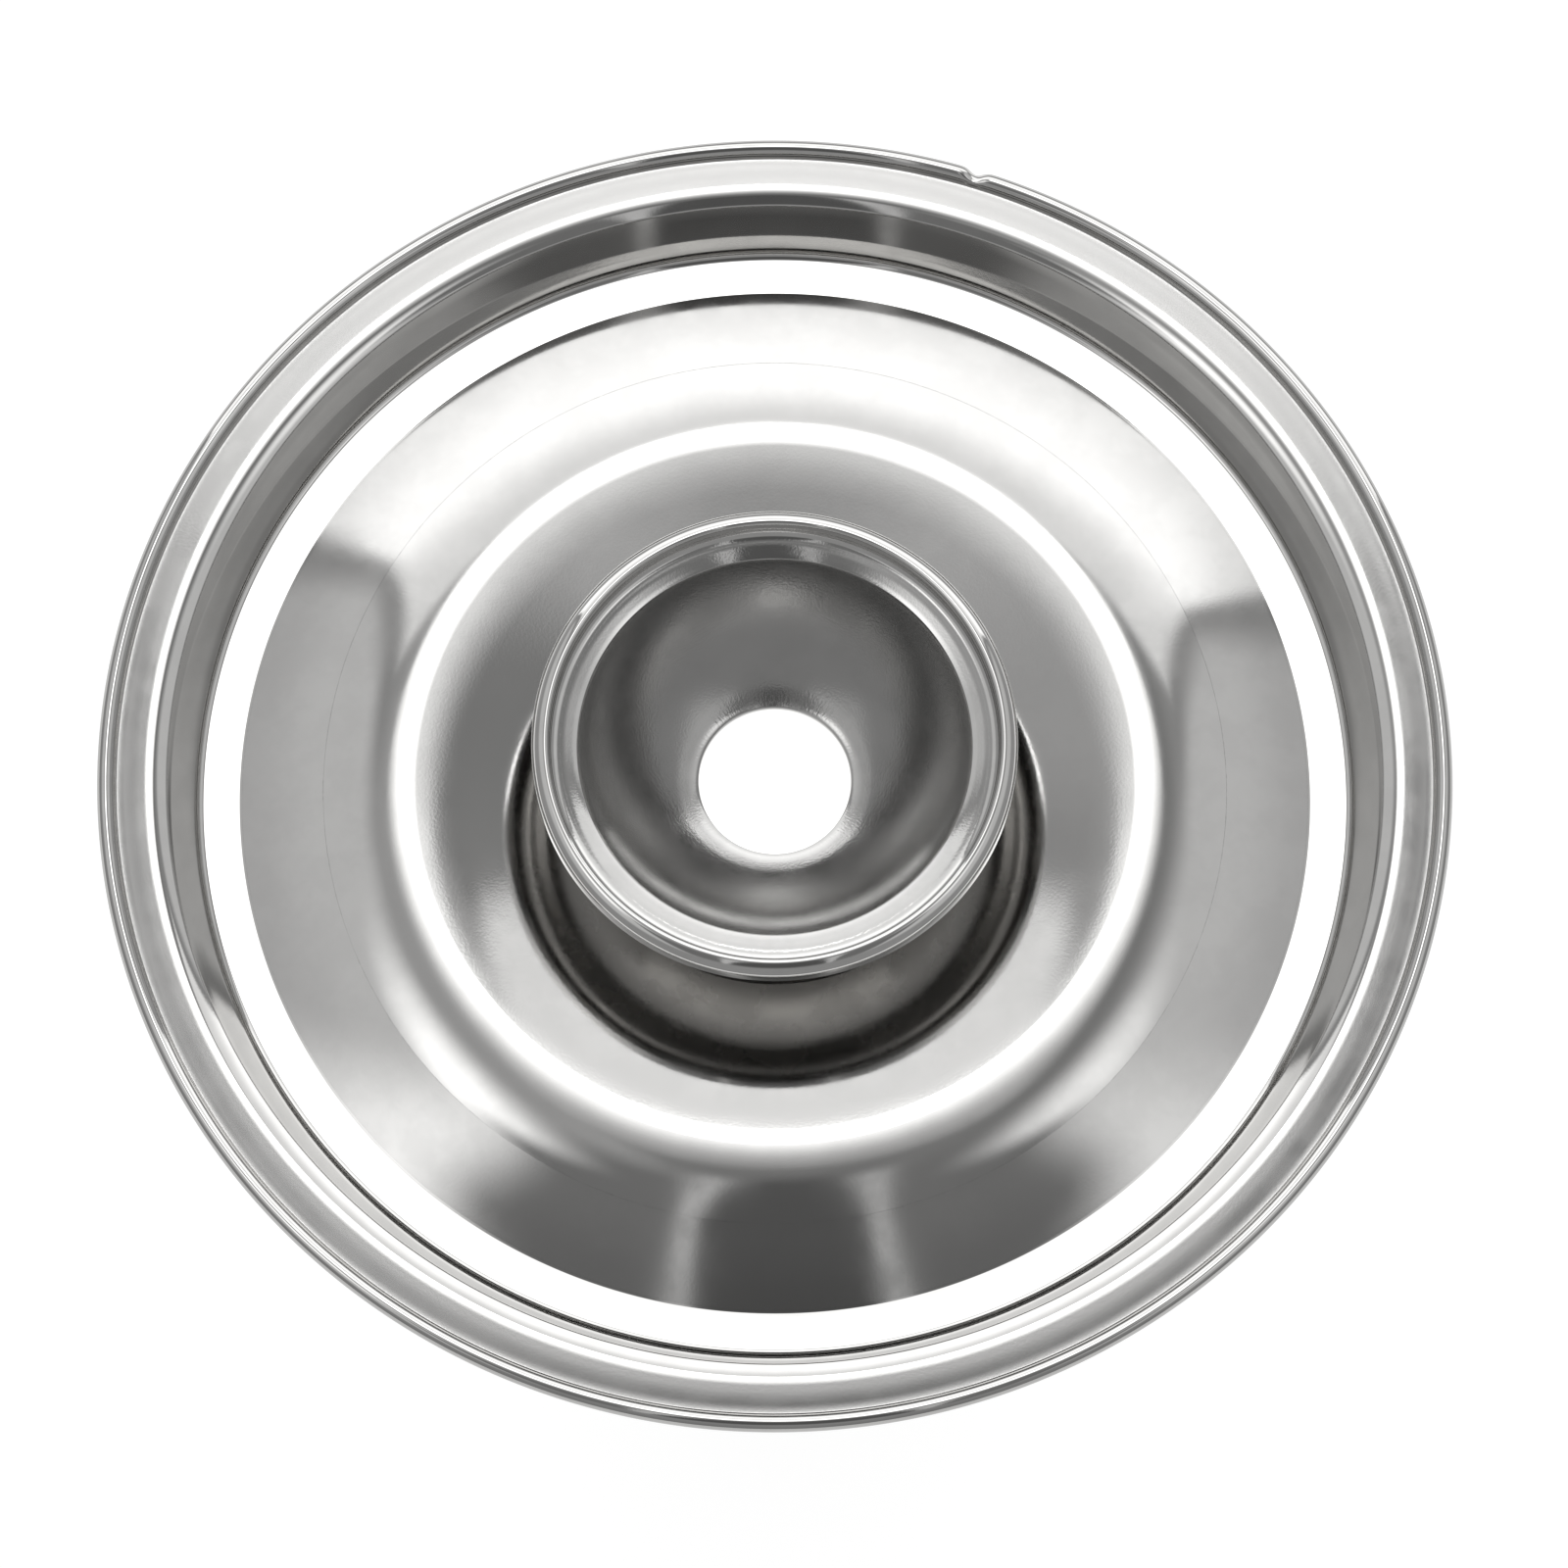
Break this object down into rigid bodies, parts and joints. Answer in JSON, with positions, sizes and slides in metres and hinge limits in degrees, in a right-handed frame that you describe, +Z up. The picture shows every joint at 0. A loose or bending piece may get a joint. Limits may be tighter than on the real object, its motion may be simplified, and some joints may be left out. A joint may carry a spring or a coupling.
{
  "type": "hand-held ring batter dispenser",
  "caption": "Funnel-shaped stainless steel hopper with a lift-off pressed lid and a sprung palm button that pushes a coned disc out of the nozzle.",
  "frame": {"origin": "centre of the nozzle's lower rim, on the plane the dispenser stands on", "axes": "+Z up along the axis from the nozzle to the palm button; the piece is round, so +X and +Y are free"},
  "size_m": [0.115, 0.115, 0.1112],
  "materials": {
    "lid_steel": "pressed and polished, satin flange",
    "cup_steel": "pressed, fine orange-peel grain",
    "well_steel": "drawn, semi-bright",
    "hopper_steel": "fine brushed round the axis",
    "valve_steel": "polished",
    "turned_steel": "turned",
    "rod_steel": "drawn rod",
    "spring_steel": "spring wire",
    "fastener_steel": "machined"
  },
  "bodies": {
    "base": {"hopper": "hopper_steel", "nozzle_ring": "turned_steel"},
    "cover": {"lid": "lid_steel", "guide_well": "well_steel", "guide_bush": "turned_steel", "bush_washer": "fastener_steel", "bush_nut": "fastener_steel", "return_spring": "spring_steel"},
    "plunger": {"press_cup": "cup_steel", "cup_stem": "turned_steel", "spring_washer": "fastener_steel", "push_rod": "rod_steel", "stop_clip": "spring_steel", "valve_disc": "valve_steel", "disc_nut": "fastener_steel", "disc_washer": "fastener_steel", "end_nut": "fastener_steel"}
  },
  "joints": [
    {"name": "lid_lift", "type": "slide", "parent": "base", "child": "cover", "axis": [0, 0, 1], "range_m": [0, 0.12]},
    {"name": "button_press", "type": "slide", "parent": "cover", "child": "plunger", "axis": [0, 0, -1], "range_m": [0, 0.0085], "stiffness_N_per_m": 350, "springref_m": -0.008, "deforming": ["return_spring"]}
  ]
}
